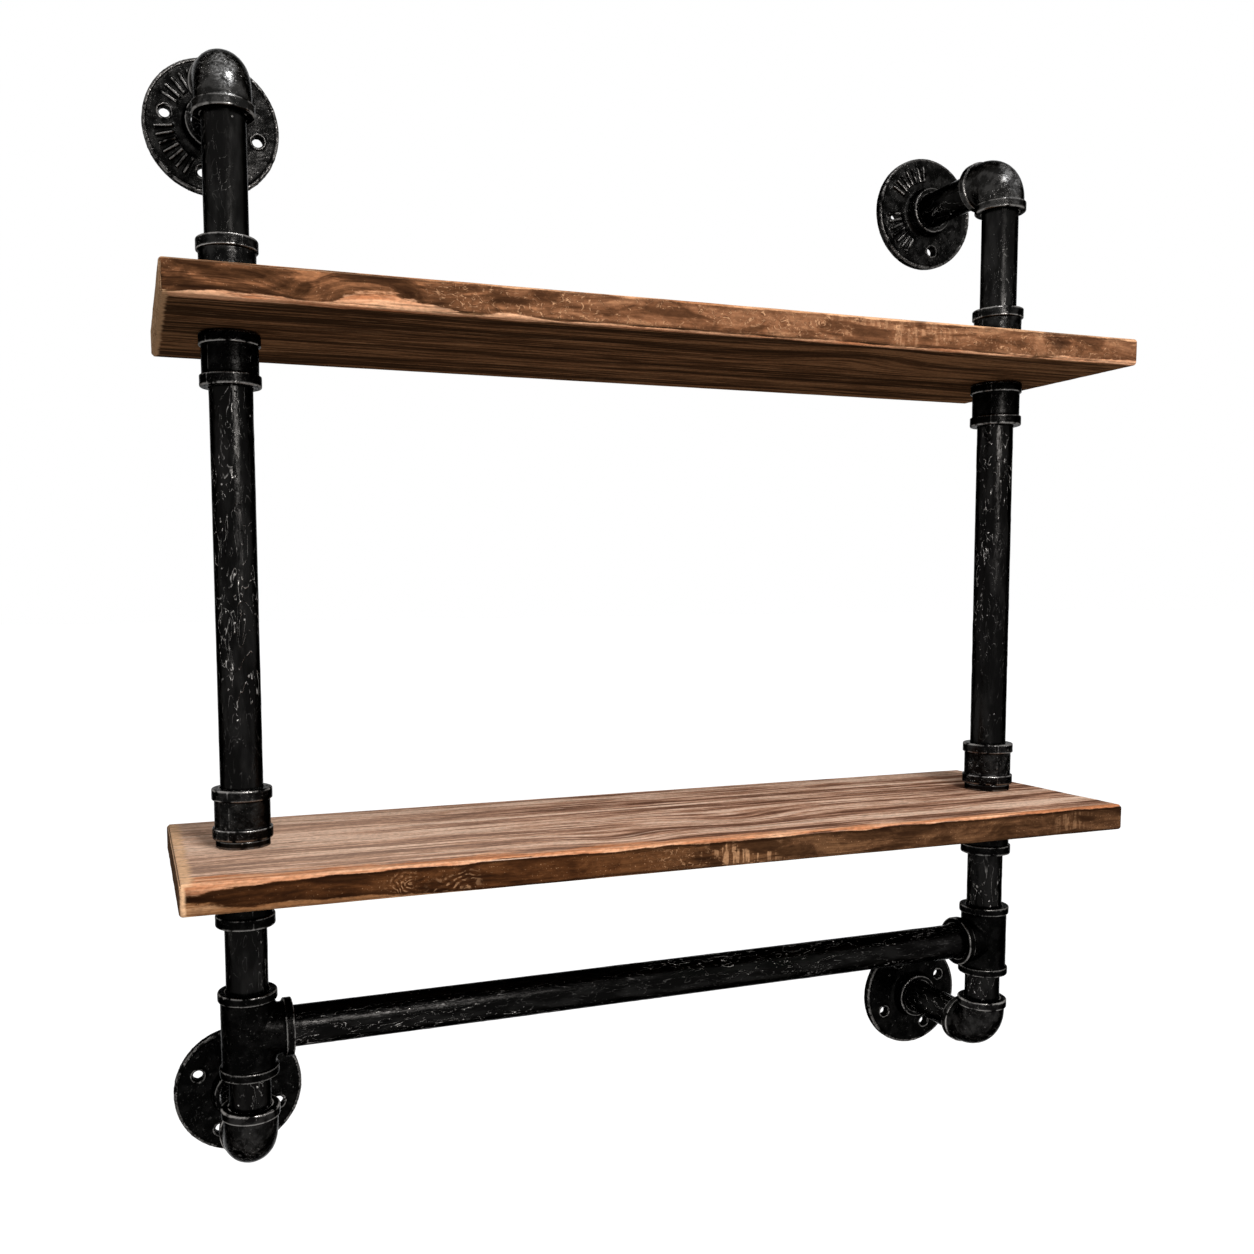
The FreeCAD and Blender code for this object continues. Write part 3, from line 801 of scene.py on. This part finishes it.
def stained_wood(name, board, look):
    """Stained wood for one board: grain along it, a colour for each face, and strips rubbed bare along it."""
    lowest, size, middle = board
    crack, mark, pale, border = (shade(look[part]) for part in ("crack", "mark", "pale", "border"))
    material, shader, tree = new_material(name, Specular_IOR_Level=WOOD_SHINE)
    at = add_node(tree, "ShaderNodeTexCoord").outputs
    x, y, z = add_node(tree, "ShaderNodeSeparateXYZ", {0: at["Object"]}).outputs
    facing = add_node(tree, "ShaderNodeSeparateXYZ", {0: at["Normal"]}).outputs
    from_left = maths(tree, "SUBTRACT", x, lowest.x)
    from_front = maths(tree, "SUBTRACT", y, lowest.y)
    from_bottom = maths(tree, "SUBTRACT", z, lowest.z)
    from_top = maths(tree, "SUBTRACT", size.z, from_bottom)
    share = maths(tree, "DIVIDE", from_left, size.x)
    upward = between(tree, facing[2], 0.45, 0.8)
    downward = between(tree, facing[2], -0.45, -0.8)
    frontward = between(tree, facing[1], -0.45, -0.8)
    endward = between(tree, maths(tree, "ABSOLUTE", facing[0]), 0.5, 0.85)
    on_flat = maths(tree, "MAXIMUM", upward, downward)
    off_end = maths(tree, "SUBTRACT", 1.0, endward)

    # Grain: the place is pulled out along the board, led round each knot, and wanders a little
    wander = noise(tree, object_place(tree, (0.25, 1, 1)), WANDER_SIZE)
    led = [times_plus(tree, wander, WANDER_ASIDE, y), times_plus(tree, wander, WANDER_UP, z)]
    for face, knot_x, knot_off, reach, throw in look["knots"]:
        across = maths(tree, "DIVIDE", maths(tree, "SUBTRACT", x, knot_x), KNOT_LENGTH * reach)
        back = maths(tree, "DIVIDE", maths(tree, "SUBTRACT", (y, z)[face], knot_off), reach)
        off = times_plus(tree, across, across, times(tree, back, back))
        pull = maths(tree, "EXPONENT", times(tree, off, -1.0))
        pull = times(tree, pull, frontward) if face else pull
        led[face] = times_plus(tree, pull, throw, led[face])
    grain = xyz(tree, times(tree, x, FIGURE_STRETCH), *led)
    near_grain = xyz(tree, times(tree, x, FIBRE_STRETCH), *led)
    figure = noise(tree, grain, FIGURE_SIZE, detail=5.0, rough=0.6)
    fibre = noise(tree, near_grain, FIBRE_SIZE, detail=3.0, rough=0.65)
    streak = times_plus(tree, fibre, 0.45, times(tree, figure, 0.55))
    streak = between(tree, streak, 0.42, 0.58)
    cracks = wandering_lines(tree, near_grain, *CRACKS)
    cracks = times(tree, cracks, between(tree, figure, 0.50, 0.56))
    pale_lines = wandering_lines(tree, grain, *PALE_LINES, detail=3.0)
    pale_faces = times_plus(tree, downward, 0.45, upward)
    pale_lines = times(tree, pale_lines, pale_faces)
    pale_lines = times(tree, pale_lines, between(tree, fibre, 0.45, 0.55))
    flecks = between(tree, noise(tree, object_place(tree, (0.5, 1, 1)), FLECK_SIZE), 0.40, 0.60)

    # End grain: growth rings round a pith beside the plank
    across_plank = xyz(tree, 0.0, y, z)
    pith = (0.0, middle.y + PITH_ASIDE, middle.z - PITH_BELOW)
    from_pith = distance(tree, across_plank, pith)
    uneven = noise(tree, across_plank, RING_WANDER_SIZE)
    from_pith = times_plus(tree, uneven, RING_WANDER, from_pith)
    turn = times(tree, from_pith, math.tau / GROWTH_RING)
    rings = between(tree, maths(tree, "SINE", turn), -0.2, 0.9)
    end_grain = times_plus(tree, rings, 0.55, times(tree, streak, 0.45))

    # Stain: each face took it differently, and the front in blots
    cloud = noise(tree, object_place(tree, (0.32, 1, 1)), CLOUD_SIZE, detail=5.0, rough=0.6, distortion=1.2)
    blot = between(tree, cloud, 0.38, 0.62)
    paler = between(tree, share, *look["front_pales"])
    faded = between(tree, share, 0.5, 0.1, 0.0, look["top_pale"])
    top = blended(tree, faded, ramp(tree, streak, look["top"]), pale)
    under = ramp(tree, streak, look["under"])
    stain = times_plus(tree, streak, 0.3, times(tree, blot, 0.7))
    front_left = ramp(tree, stain, look["front_left"])
    front = blended(tree, paler, front_left, ramp(tree, stain, look["front_right"]))

    # Saw marks and curls on the front, where the plane has skipped, and whorls and scorched spots of knots.
    # The curls, the whorl rings and the pale flecks are painted glints, and the dark lines beside the curls
    # and between the rings are painted shadow.
    curl_place = object_place(tree, (0.75, 1, 1))
    curls, beside = (
        wandering_lines(tree, curl_place, *CURLS, detail=3.0, distortion=1.0, level=level)
        for level in (0.5, 0.536))
    strokes = noise(tree, curl_place, STROKE_SIZE)
    curl_share = times(tree, between(tree, cloud, 0.36, 0.52), between(tree, strokes, 0.43, 0.58))
    curl_share = times(tree, curl_share, along_share(tree, share, look["curls"]))
    curl_glints = times(tree, curls, curl_share)
    # Dark lines beside the curls: painted shadow
    painted_shadow = times(tree, beside, curl_share)
    teeth = noise(tree, object_place(tree, (1, 1, 0.16)), SAW_TOOTH_SIZE)
    sawn = times(tree, between(tree, teeth, 0.50, 0.58), between(tree, cloud, 0.45, 0.52))
    sawn = times(tree, sawn, along_share(tree, share, look["saw_marks"]))
    marks = maths(tree, "MAXIMUM", curl_glints, sawn)
    on_front = xyz(tree, times(tree, x, WHORL_STRETCH), 0.0, z)
    wobble = noise(tree, curl_place, WOBBLE_SIZE, detail=1.5)
    for whorl_x, whorl_z, reach, ring in look["whorls"]:
        off = distance(tree, on_front, (whorl_x * WHORL_STRETCH, 0.0, whorl_z))
        turn = times(tree, times_plus(tree, wobble, WHORL_WOBBLE, off), math.tau / ring)
        near = times(tree, between(tree, off, reach, 0.5 * reach),
                     between(tree, x, whorl_x + 0.7 * reach, whorl_x - 0.1 * reach))
        # The whorl's rings are painted glints
        rings = times(tree, between(tree, maths(tree, "SINE", turn), 0.1, 1.0), near)
        rings = times(tree, rings, between(tree, strokes, 0.45, 0.57, 0.05, 0.75))
        marks = maths(tree, "MAXIMUM", marks, rings)
        # Dark between the whorl's rings: painted shadow
        ring_shadows = times(tree, between(tree, maths(tree, "SINE", turn), -0.3, -0.9), near)
        painted_shadow = maths(tree, "MAXIMUM", painted_shadow, ring_shadows)
    # Pale flecks on the front: painted glints
    painted_glints = noise(tree, object_place(tree), GLINT_SIZE, detail=1.0)
    painted_glints = times(tree, between(tree, painted_glints, 0.66, 0.74), between(tree, cloud, 0.44, 0.54))
    marks = maths(tree, "MAXIMUM", marks, times(tree, painted_glints, 0.7))
    front = blended(tree, times(tree, painted_shadow, 0.5), front, crack)
    front = blended(tree, times(tree, marks, 0.75), front, mark)
    for spot_x, spot_z, reach in look["scorched"]:
        off = distance(tree, on_front, (spot_x * WHORL_STRETCH, 0.0, spot_z))
        off = times_plus(tree, wobble, SPOT_WOBBLE, off)
        singed = between(tree, off, reach + SPOT_EASE, SPOT_EASE, 0.0, 0.75)
        front = blended(tree, singed, front, crack)

    colour = blended(tree, upward, front, top)
    colour = blended(tree, downward, colour, under)
    colour = blended(tree, endward, colour, ramp(tree, end_grain, look["end"]))

    # Rubbed edges: the stain is gone in a strip of changing width on both sides of each long front edge
    frayed = noise(tree, object_place(tree, (0.2, 1, 1)), FRAY_SIZE, detail=6.0, rough=0.68)
    ragged = times_plus(tree, frayed, 2.6, -1.3)
    for edge in look["rubbed"]:
        depth = from_top if edge["top"] else from_bottom
        flat_side = maths(tree, "DIVIDE", from_front, along_board(tree, share, edge["flat"]))
        front_side = maths(tree, "DIVIDE", depth, along_board(tree, share, edge["front"]))
        off = maths(tree, "ADD", maths(tree, "ADD", flat_side, front_side), ragged)
        bare = times(tree, between(tree, off, 1.15, 0.85), off_end)
        tone = ramp(tree, streak, edge["tones"])
        singed = times(tree, between(tree, off, 1.0, 1.25), between(tree, off, 2.4, 1.4))
        singed = times(tree, singed, times(tree, frontward, edge["singed"]))
        colour = blended(tree, singed, colour, crack)
        colour = blended(tree, times(tree, bare, edge["share"]), colour, tone)
    end_width = between(tree, on_flat, 0.0, 1.0, look["front_border"] * MM, look["flat_border"] * MM)
    end_off = times_plus(tree, ragged, 0.6, maths(tree, "DIVIDE", from_left, end_width))
    bordered = times(tree, between(tree, end_off, 1.25, 0.75), off_end)
    colour = blended(tree, times(tree, bordered, look["border_share"]), colour, border)
    colour = blended(tree, times(tree, pale_lines, 0.6), colour, pale)
    colour = blended(tree, times(tree, cracks, 0.5), colour, crack)
    colour = blended(tree, times(tree, flecks, 0.24), colour, crack)
    tree.links.new(colour, shader.inputs["Base Color"])
    tree.links.new(between(tree, cloud, 0.4, 0.6, *WOOD_GLOSS), shader.inputs["Roughness"])

    height = times_plus(tree, streak, 0.4, times(tree, cloud, 1.4))
    height = times_plus(tree, cracks, -0.6, height)
    height = times_plus(tree, marks, 0.4, height)
    bump = add_node(tree, "ShaderNodeBump", {"Height": height, "Distance": WOOD_RELIEF, "Strength": 1.0})
    tree.links.new(bump.outputs[0], shader.inputs["Normal"])
    return material


COPPER = ((206, 134, 92), (255, 198, 156))
# Tones of the upper board's top front arris: rubbed bare, and a painted highlight along the edge.
ARRIS_WEAR_AND_HIGHLIGHT = ((172, 116, 78), (240, 186, 142))
TAN = ((150, 104, 68), (214, 166, 124))
UNDERSIDE = ((58, 40, 26), (91, 63, 42), (141, 102, 70))
# A knot is (0 on the flats or 1 on the front, its x, its y or z, reach, throw of the grain), a whorl is
# (x, z, reach, ring) and a scorched spot (x, z, reach). Curls and saw marks are (start, end, strength) and
# widths (share, mm), with start, end and share along the board. Borders are in mm, along the left end, and
# colours are as a screen shows them.
BOARD_LOOKS = {
    "upper": {
        "top": ((84, 58, 42), (140, 104, 78), (190, 152, 120)),
        "top_pale": 0.1,
        "under": UNDERSIDE,
        "front_left": ((43, 25, 14), (78, 50, 31), (106, 69, 45), (166, 112, 76)),
        "front_right": ((84, 54, 35), (120, 79, 53), (142, 97, 68), (174, 125, 90)),
        "front_pales": (0.18, 0.45),
        "end": ((222, 180, 140), (146, 110, 82)),
        "mark": (222, 170, 128),
        "crack": (38, 22, 14),
        "pale": (200, 156, 116),
        "border": (206, 164, 124),
        "border_share": 0.8,
        "flat_border": 4.5,
        "front_border": 0.5,
        "curls": ((0.22, 0.97, 1.0),),
        "saw_marks": ((0.62, 0.76, 0.35),),
        "whorls": (),
        "scorched": ((0.2575, 0.1875, 0.008),),
        "knots": ((0, 0.12, -0.15, 0.030, 0.018), (1, -0.255, 0.184, 0.012, 0.008)),
        "rubbed": (
            {"top": True, "share": 0.92, "tones": ARRIS_WEAR_AND_HIGHLIGHT, "singed": 0.3,
             "flat": ((0, 3), (0.5, 5), (1, 3)),
             "front": ((0, 0.6), (0.12, 1.2), (0.3, 1.8), (0.5, 2.2), (1, 2.0))},
            {"top": False, "share": 0.85, "tones": COPPER, "singed": 0.3,
             "flat": ((0, 10), (0.2, 7), (0.45, 6), (1, 3)),
             "front": ((0, 0.6), (0.03, 2.4), (0.08, 3.2), (0.12, 1.5), (0.145, 5.0), (0.17, 9.0),
                       (0.20, 6.5), (0.24, 3.0), (0.26, 1.4), (0.29, 3.0), (0.33, 1.4), (0.8, 1.6),
                       (0.93, 3.0), (1, 3.6))},
        ),
    },
    "lower": {
        "top": ((110, 76, 60), (200, 150, 121), (250, 213, 187)),
        "top_pale": 0.3,
        "under": UNDERSIDE,
        "front_left": ((44, 25, 14), (70, 41, 22), (86, 52, 29), (102, 64, 37)),
        "front_right": ((50, 31, 19), (74, 49, 31), (92, 62, 41), (122, 86, 58)),
        "front_pales": (0.35, 0.6),
        "end": ((128, 98, 76), (84, 62, 47)),
        "mark": (208, 158, 116),
        "crack": (34, 18, 9),
        "pale": (255, 216, 188),
        "border": (248, 200, 156),
        "border_share": 0.9,
        "flat_border": 8.0,
        "front_border": 3.4,
        "curls": ((0.43, 0.50, 0.8),),
        "saw_marks": ((0.49, 0.56, 0.8), (0.91, 0.95, 0.3)),
        "whorls": ((-0.201, -0.147, 0.010, 0.0021), (-0.166, -0.158, 0.020, 0.0036)),
        "scorched": (),
        "knots": ((0, 0.045, -0.135, 0.026, 0.016), (0, -0.06, -0.165, 0.02, 0.012)),
        "rubbed": (
            {"top": True, "share": 0.92, "tones": COPPER, "singed": 0.75,
             "flat": ((0, 17), (0.15, 14), (0.5, 11), (0.75, 8), (1, 6)),
             "front": ((0, 6.0), (0.05, 3.4), (0.12, 2.2), (0.3, 1.8), (0.5, 2.2), (1, 1.8))},
            {"top": False, "share": 0.9, "tones": TAN, "singed": 0.6,
             "flat": ((0, 6), (0.3, 3), (1, 2)),
             "front": ((0, 8.0), (0.04, 5.6), (0.10, 4.6), (0.2, 2.2), (0.3, 0.9), (0.4, 1.8),
                       (0.5, 0.8), (1, 0.8))},
        ),
    },
}

for number, name in enumerate(("upper", "lower")):
    node = f"{name}_board"
    lowest, size, middle = span(node)
    nipples = [span(f"{side}_nipple_through_{name}_board") for side in SIDES]
    plank = plank_mesh(node, lowest, size, np.random.default_rng(BOARD_WEAR_SEED + number))
    plank = bored(plank, [(nipple[2], nipple[1].x / 2 + BOARD_HOLE_CLEARANCE, size.z) for nipple in nipples])
    wood = stained_wood(f"stained_wood_{name}", (lowest, size, middle), BOARD_LOOKS[name])
    piece = skinned(f"{node}_plank", plank, BOARD_SKIN, wood, BOARD_SEED + number, BOARD_STRETCH)
    set_piece(piece, "stained_wood", node)

# Stage: a pale floor a little over a metre below the shelf, which hangs on a wall, a white surround and two
# soft lamps. A lamp is its place, its target, its width and height, its watts and its colour.
FLOOR_DROP = 1.1
FLOOR_HALF = 60.0
FLOOR_GREY = (0.82, 0.82, 0.82)
FLOOR_GLOW = 0.80
SURROUND_FILL = 0.34
LAMPS = {
    "front": ((0.05, -1.30, 0.36), (0.0, -0.1, 0.0), 0.30, 0.24, 12.0, (1.0, 0.985, 0.97)),
    "above": ((0.1, -0.75, 1.25), (0.0, -0.1, 0.0), 0.32, 0.22, 6.5, (0.97, 0.985, 1.0)),
}

floor_height = cad_box[0].z - FLOOR_DROP
floor_mesh = bpy.data.meshes.new("floor")
floor_mesh.from_pydata([
    (-FLOOR_HALF, -FLOOR_HALF, floor_height), (FLOOR_HALF, -FLOOR_HALF, floor_height),
    (FLOOR_HALF, FLOOR_HALF, floor_height), (-FLOOR_HALF, FLOOR_HALF, floor_height)], [], [(0, 1, 2, 3)])
floor = add_object("floor", floor_mesh)


def seen_directly(tree):
    """1 for the rays that show the background: to the camera, in reflections and through glass."""
    rays = add_node(tree, "ShaderNodeLightPath").outputs
    seen = maths(tree, "MAXIMUM", rays["Is Camera Ray"], rays["Is Glossy Ray"])
    return maths(tree, "MAXIMUM", seen, rays["Is Transmission Ray"])


pale, pale_shader, tree = new_material(
    "pale_floor", Roughness=0.9, Specular_IOR_Level=0.1, Base_Color=(*FLOOR_GREY, 1.0))
strength = times(tree, seen_directly(tree), FLOOR_GLOW)
glow = add_node(tree, "ShaderNodeEmission", {"Color": (1, 1, 1, 1), "Strength": strength}).outputs[0]
shown = add_node(tree, "ShaderNodeAddShader", {0: pale_shader.outputs[0], 1: glow}).outputs[0]
tree.links.new(shown, tree.nodes["Material Output"].inputs["Surface"])
floor_mesh.materials.append(pale)

world = bpy.data.worlds.new("surround")
bpy.context.scene.world = world
world.use_nodes = True
tree = world.node_tree
strength = times_plus(tree, seen_directly(tree), 1 - SURROUND_FILL, SURROUND_FILL)
tree.nodes["Background"].inputs["Color"].default_value = (1, 1, 1, 1)
tree.links.new(strength, tree.nodes["Background"].inputs["Strength"])

for name, (place, target, width, height, watts, colour) in LAMPS.items():
    lamp = bpy.data.lights.new(name, "AREA")
    lamp.shape = "RECTANGLE"
    lamp.size = width
    lamp.size_y = height
    lamp.energy = watts
    lamp.color = colour
    lamp_object = add_object(name, lamp)
    lamp_object.location = place
    lamp_object.rotation_euler = (Vector(target) - Vector(place)).to_track_quat("-Z", "Y").to_euler()

# Camera: where the photograph was taken from, worked out from the edges of the pipes and boards in it
PHOTO_SIDE = 1254
FOCAL_PIXELS = 1186.14
CENTRE_PIXEL = (555.40, 686.79)
CAMERA_PLACE = (-0.35006, -0.85338, 0.0212)
CAMERA_YAW = 0.347
CAMERA_PITCH = -0.081
CAMERA_ROLL = -0.006
SENSOR = 36.0
camera = bpy.data.cameras.new("camera")
camera.sensor_width = SENSOR
camera.lens = FOCAL_PIXELS * SENSOR / PHOTO_SIDE
camera.shift_x = 0.5 - CENTRE_PIXEL[0] / PHOTO_SIDE
camera.shift_y = CENTRE_PIXEL[1] / PHOTO_SIDE - 0.5
viewer = add_object("camera", camera)
viewer.location = CAMERA_PLACE
look = Euler((math.pi / 2 + CAMERA_PITCH, 0, -CAMERA_YAW), "XYZ").to_matrix()
viewer.rotation_euler = (look @ Matrix.Rotation(CAMERA_ROLL, 3, "Z")).to_euler()
bpy.context.scene.camera = viewer

bpy.context.scene.view_settings.view_transform = "Standard"
